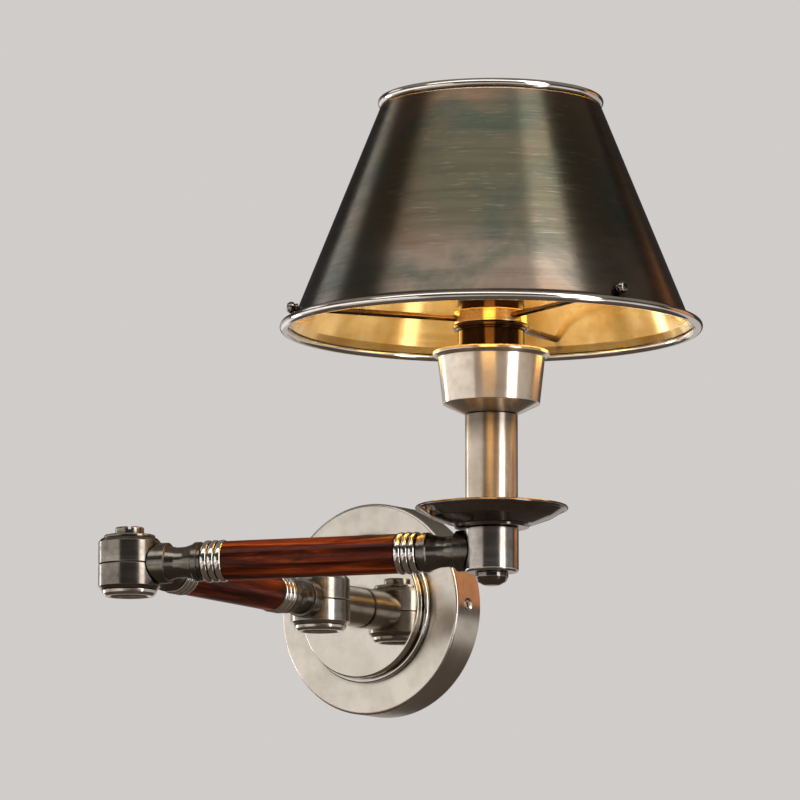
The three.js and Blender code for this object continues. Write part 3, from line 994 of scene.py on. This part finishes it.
add_lamp(
    "dome_nut",
    [
        (0, -17.3),
        (3.6, -17.1, 2),
        (6.9, -15.4, 2),
        (8.0, -13.2, 1),
        (8.0, -11.2, 0.2),
        (5.3, -11.2, 0),
        (5.3, -14.6, 0),
        (0, -14.6),
    ],
    SHADED_NICKEL,
    ["domed_nut"],
    closed=False,
)
add_lamp(
    "pan_spun",
    [
        (5.3, 10.6),
        (17.8, 10.6, 0.3),
        (18.4, 11.9, 0.4),
        (20.5, 12.4, 2),
        (29.5, 15.6, 9),
        (35.3, 19.3, 0.4),
        (36.3, 19.1, 0.6),
        (37.0, 20.2, 0.7),
        (36.2, 21.3, 0.6),
        (35.2, 20.8, 0.4),
        (29.0, 17.2, 9),
        (19.0, 13.2, 2),
        (5.3, 12.6),
    ],
    SHADED_NICKEL,
    ["drip_pan"],
    segments=112,
)
add_lamp(
    "tube_turned",
    [(11.6, 12.9), (12.7, 12.9), (12.7, 65.4, 0.4), (11.6, 65.4)],
    TUBE,
    ["candle_tube"],
)
add_lamp(
    "cup_spun",
    [
        (5.3, 65.8),
        (13.2, 65.8, 0.3),
        (23.4, 70.7, 0.5),
        (25.9, 93.0, 0.5),
        (27.0, 93.4, 0.4),
        (28.4, 94.2, 0.8),
        (28.4, 95.8, 0.8),
        (26.8, 96.3, 0.5),
        (24.8, 95.1, 0.5),
        (22.2, 71.8, 0.6),
        (12.6, 67.6),
        (5.3, 67.6),
    ],
    BRUSHED,
    ["socket_cup"],
)
add_lamp(
    "shell_turned",
    [(14.9, 72.0), (16.1, 72.0), (16.1, 131.0, 0.4), (14.9, 131.0)],
    DARK_BRONZE,
    ["socket_shell"],
)
add_lamp(
    "hub_turned",
    [
        (16.4, 109.0),
        (18.0, 109.0, 0.5),
        (18.0, 110.0, 0.1),
        (17.75, 110.2, 0.1),
        (17.75, 114.2, 0.1),
        (18.0, 114.4, 0.1),
        (18.0, 115.4, 0.5),
        (16.4, 115.4),
    ],
    WARM_BRASS,
    ["spider_hub"],
)
add_lamp(
    "ring_turned",
    [
        (16.4, 106.0),
        (17.3, 106.0, 0.3),
        (17.3, 106.8, 0.1),
        (18.5, 107.0, 0.3),
        (18.5, 108.6, 0.5),
        (16.4, 108.7),
    ],
    DARK_BRONZE,
    ["retaining_ring"],
)


def cone_radius(z):
    """Radius of the middle of the shade's sheet at a height."""
    share = (z - SHADE_BOTTOM_Z) / (SHADE_TOP_Z - SHADE_BOTTOM_Z)
    low = SHADE_BOTTOM_RADIUS - FOOT_INSET
    high = SHADE_TOP_RADIUS - TOP_INSET
    return low + share * (high - low)


wall_radius = cone_radius(ROD_END_Z)
rod_tilt = math.atan((ROD_END_Z - HUB_Z) / (wall_radius - HUB_RADIUS))
rod_rise = shift(0, 0, HUB_Z - HUB_RADIUS * math.tan(rod_tilt)) @ Matrix.Rotation(-rod_tilt, 4, "Y")
rod_start = HUB_RADIUS - 0.6
rod_end = wall_radius - SCREW_REACH
SHADE_SCREW = [
    (0, -7.0),
    (1.1, -7.0),
    (1.1, 0.8, 0.1),
    (2.1, 0.9, 0.1),
    (2.1, 1.9, 0.2),
    (1.7, 2.3, 0.3),
    (2.7, 3.0, 0.6),
    (2.9, 4.4, 1.0),
    (2.0, 5.9, 0.8),
    (0, 6.2),
]
for label, degrees in ROD_ANGLES.items():
    along = lamp_place @ turn(degrees) @ rod_rise @ ALONG_X
    add_lamp(
        "rod_" + label,
        [(0, rod_start), (ROD_RADIUS, rod_start), (ROD_RADIUS, rod_end), (0, rod_end)],
        ROD_BRASS,
        ["spider_rod_" + label],
        closed=False,
        segments=32,
        place=along,
    )
    add_lamp(
        "thumb_screw_" + label,
        SHADE_SCREW,
        SHADED_NICKEL,
        ["shade_screw_" + label],
        closed=False,
        segments=32,
        place=along @ shift(0, 0, wall_radius),
    )

# Cone: dark outside, polished inside
shade_low = SHADE_BOTTOM_Z + 0.9
foot_top = SHADE_BOTTOM_Z + FOOT_HEIGHT
shade_high = SHADE_TOP_Z - RIM_WIRE - 0.4
foot = SHADE_BOTTOM_RADIUS - RIM_WIRE - 0.2
half = SHEET / 2
shade = add_lamp(
    "cone_spun",
    [
        (foot, shade_low, 0.1),
        (cone_radius(foot_top) + half, foot_top, 3),
        (cone_radius(shade_high) + half, shade_high, 0.1),
        (cone_radius(shade_high) - half, shade_high, 0.1),
        (cone_radius(foot_top) - half, foot_top, 3),
        (foot - SHEET, shade_low, 0.1),
    ],
    (SHADE_OUTSIDE, SHADE_INSIDE),
    ["shade"],
    segments=160,
)
for face in shade.data.polygons:
    outward = face.center.x * face.normal.x + face.center.y * face.normal.y
    face.material_index = 0 if outward > 0 else 1

RIM_STEPS = 20


def wire_rim(radius, z):
    profile = []
    for i in range(RIM_STEPS):
        angle = 2 * math.pi * i / RIM_STEPS
        profile.append((radius + RIM_WIRE * math.cos(angle), z + RIM_WIRE * math.sin(angle), 0))
    return profile


add_lamp(
    "rim_rolled_bottom",
    wire_rim(SHADE_BOTTOM_RADIUS, SHADE_BOTTOM_Z),
    POLISHED,
    ["shade_rim_bottom"],
    segments=160,
)
add_lamp(
    "rim_rolled_top",
    wire_rim(SHADE_TOP_RADIUS, SHADE_TOP_Z),
    POLISHED,
    ["shade_rim_top"],
    segments=128,
)
bulb = add_lamp(
    "bulb_opal",
    [
        (0, 113.3),
        (12.8, 113.3, 0.5),
        (13.2, 128.0, 6),
        (15.6, 135.0, 8),
        (26.4, 149.0, 12),
        (30.4, 163.0, 10),
        (28.6, 177.0, 12),
        (18.0, 189.0, 10),
        (6.0, 191.0, 8),
        (0, 191.0),
    ],
    OPAL,
    ["bulb_glass"],
    closed=False,
    segments=64,
)
# The light inside the glass passes through it.
bulb.visible_shadow = False

# ---- Finishes of the CAD nodes that stay --------------------------------------------------------------
CAD_FINISHES = {
    "wall_bracket": STEEL,
    "stem_locknut": STEEL,
    "wall_pivot_post": STEEL,
    "wall_friction_ring": FIBRE,
    "elbow_pivot_post": STEEL,
    "elbow_friction_ring": FIBRE,
    "rear_core_tube": STEEL,
    "rear_flex": SLEEVING,
    "front_core_tube": STEEL,
    "front_flex": SLEEVING,
    "lamp_nipple": STEEL,
    "socket_body": CERAMIC,
    "screw_shell": BRASS_PLAIN,
    "centre_contact": BRASS_PLAIN,
    "bulb_base": BRASS_PLAIN,
}
for node_name, material in CAD_FINISHES.items():
    node = frame["nodes"][node_name]
    for slot_index in range(len(node.material_slots)):
        node.material_slots[slot_index].material = material

# ---- Stage and light ----------------------------------------------------------------------------------
FLOOR_Z = -3.0
FLOOR_SIZE = 160
FLOOR_COLOURS = ((0.86, 0.835, 0.815), (0.9, 0.875, 0.855))
FLAG_Z = -0.5
FLAG_SIZE = 2.6
FLAG_COLOURS = ((0.06, 0.046, 0.036), (0.08, 0.06, 0.046))
BACKDROP = (0.63, 0.605, 0.59, 1)
ROOM = (0.52, 0.49, 0.47, 1)
ROOM_STRENGTH = 0.09


def stage_sheet(name, size, height, colours):
    """Level matt sheet with a faint cloud between its two colours."""
    bm = bmesh.new()
    bmesh.ops.create_grid(bm, x_segments=8, y_segments=8, size=size / 2)
    sheet = to_object(name, bm)
    sheet.location = (0, 0, height)
    finish = Graph(name)
    cloud = finish.noise((2, 2, 2))
    sheet.data.materials.append(finish.finish(Base_Color=finish.mix(cloud, *colours), Roughness=0.9))
    return sheet


stage_sheet("pale_floor", FLOOR_SIZE, FLOOR_Z, FLOOR_COLOURS)
# Dark brown sheet that keeps the undersides of the metal dark. Only reflections see it.
flag = stage_sheet("black_flag", FLAG_SIZE, FLAG_Z, FLAG_COLOURS)
flag.visible_camera = False
flag.visible_diffuse = False
flag.visible_shadow = False

# Pale backdrop. Reflections see a darker room, so that the panels stand out in the metal.
world = bpy.data.worlds.new("studio")
bpy.context.scene.world = world
world.use_nodes = True
sky = world.node_tree
sky.nodes.clear()
seen = sky.nodes.new("ShaderNodeBackground")
seen.inputs["Color"].default_value = BACKDROP
seen.inputs["Strength"].default_value = 1.0
room = sky.nodes.new("ShaderNodeBackground")
room.inputs["Color"].default_value = ROOM
room.inputs["Strength"].default_value = ROOM_STRENGTH
path = sky.nodes.new("ShaderNodeLightPath")
choice = sky.nodes.new("ShaderNodeMixShader")
output = sky.nodes.new("ShaderNodeOutputWorld")
sky.links.new(path.outputs["Is Glossy Ray"], choice.inputs["Fac"])
sky.links.new(seen.outputs[0], choice.inputs[1])
sky.links.new(room.outputs[0], choice.inputs[2])
sky.links.new(choice.outputs[0], output.inputs["Surface"])

LIGHT_TARGET = Vector((0.12, -0.15, 0.06))
NEUTRAL = (1.0, 0.97, 0.94)
WARM = (1.0, 0.38, 0.12)
CEILING = (1.0, 0.86, 0.7)
PINKISH = (1.0, 0.86, 0.78)
GLASS_GLOW = (1.0, 0.67, 0.235)
AMBER = (1.0, 0.54, 0.12)


def unseen(name, data):
    """Light object that the camera doesn't see."""
    light = link(bpy.data.objects.new(name, data))
    light.visible_camera = False
    return light


def soft_rectangle(name, place, target, size, radiance, colour):
    """Rectangular light at place that faces target. size is its width and height in metres."""
    data = bpy.data.lights.new(name, "AREA")
    data.shape = "RECTANGLE"
    width, height = size
    data.size = width
    data.size_y = height
    data.energy = radiance * math.pi * width * height
    data.color = colour
    light = unseen(name, data)
    aim(light, place, target)
    return light


def panel(name, azimuth, elevation, distance, size, radiance, colour=NEUTRAL):
    """Studio light that faces the lamp."""
    towards = direction(math.radians(azimuth), math.radians(elevation))
    place = LIGHT_TARGET + distance * towards
    soft_rectangle(name, place, LIGHT_TARGET, size, radiance, colour)


def on_lamp_axis(height):
    return LAMP_AXIS + Vector((0, 0, height * MM))


# Light from inside the bulb's glass
BULB_MIDDLE_Z = 160
BULB_LIGHT_RADIUS = 28
BULB_RADIANCE = 64
filament = bpy.data.lights.new("bulb_light", "POINT")
filament.shadow_soft_size = BULB_LIGHT_RADIUS * MM
filament.energy = BULB_RADIANCE * 4 * math.pi**2 * filament.shadow_soft_size**2
filament.color = GLASS_GLOW
bulb_light = unseen("bulb_light", filament)
bulb_light.location = on_lamp_axis(BULB_MIDDLE_Z)
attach(bulb_light, "lamp_head")

# Warm light that leaves the mouth of the shade, all round the tube
GLOWS = 3
GLOW_AZIMUTH = 28
GLOW_RADIUS = 80
GLOW_SIZE = 40
GLOW_TARGET_Z = 40
GLOW_RADIANCE = 5.0
for i in range(GLOWS):
    outward = direction(math.radians(GLOW_AZIMUTH + 360 * i / GLOWS), 0)
    glow = soft_rectangle(
        f"glow_{i}",
        on_lamp_axis(HUB_Z) + GLOW_RADIUS * MM * outward,
        on_lamp_axis(GLOW_TARGET_Z),
        (GLOW_SIZE * MM, GLOW_SIZE * MM),
        GLOW_RADIANCE,
        AMBER,
    )
    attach(glow, "lamp_head")

panel("strip_right", azimuth=80, elevation=19, distance=1.7, size=(0.66, 2.2), radiance=3.7)
panel("wall_left", azimuth=-50, elevation=2, distance=1.9, size=(4.0, 0.8), radiance=0.9)
panel("overhead", azimuth=20, elevation=52, distance=1.8, size=(3.4, 0.8), radiance=1.5)
panel("behind_left", azimuth=-120, elevation=-2, distance=2.0, size=(1.0, 1.1), radiance=0.4)
panel("behind_right", azimuth=158, elevation=15, distance=2.0, size=(1.0, 0.8), radiance=0.62, colour=WARM)
panel("side_right", azimuth=114, elevation=-4, distance=2.0, size=(1.3, 0.9), radiance=0.2)
panel("strip_left", azimuth=-95, elevation=-4, distance=1.5, size=(0.26, 0.5), radiance=4.5)
panel("lamp_left", azimuth=-88, elevation=31, distance=1.6, size=(0.6, 0.3), radiance=1.3)
panel("window_low", azimuth=88, elevation=-32, distance=0.9, size=(0.13, 0.5), radiance=3.2)
panel("wall_low", azimuth=-25, elevation=-31, distance=0.95, size=(0.9, 0.35), radiance=0.5, colour=PINKISH)
panel("ceiling", azimuth=0, elevation=90, distance=2.0, size=(6.0, 6.0), radiance=0.15, colour=CEILING)

bpy.context.scene.view_settings.view_transform = "Standard"
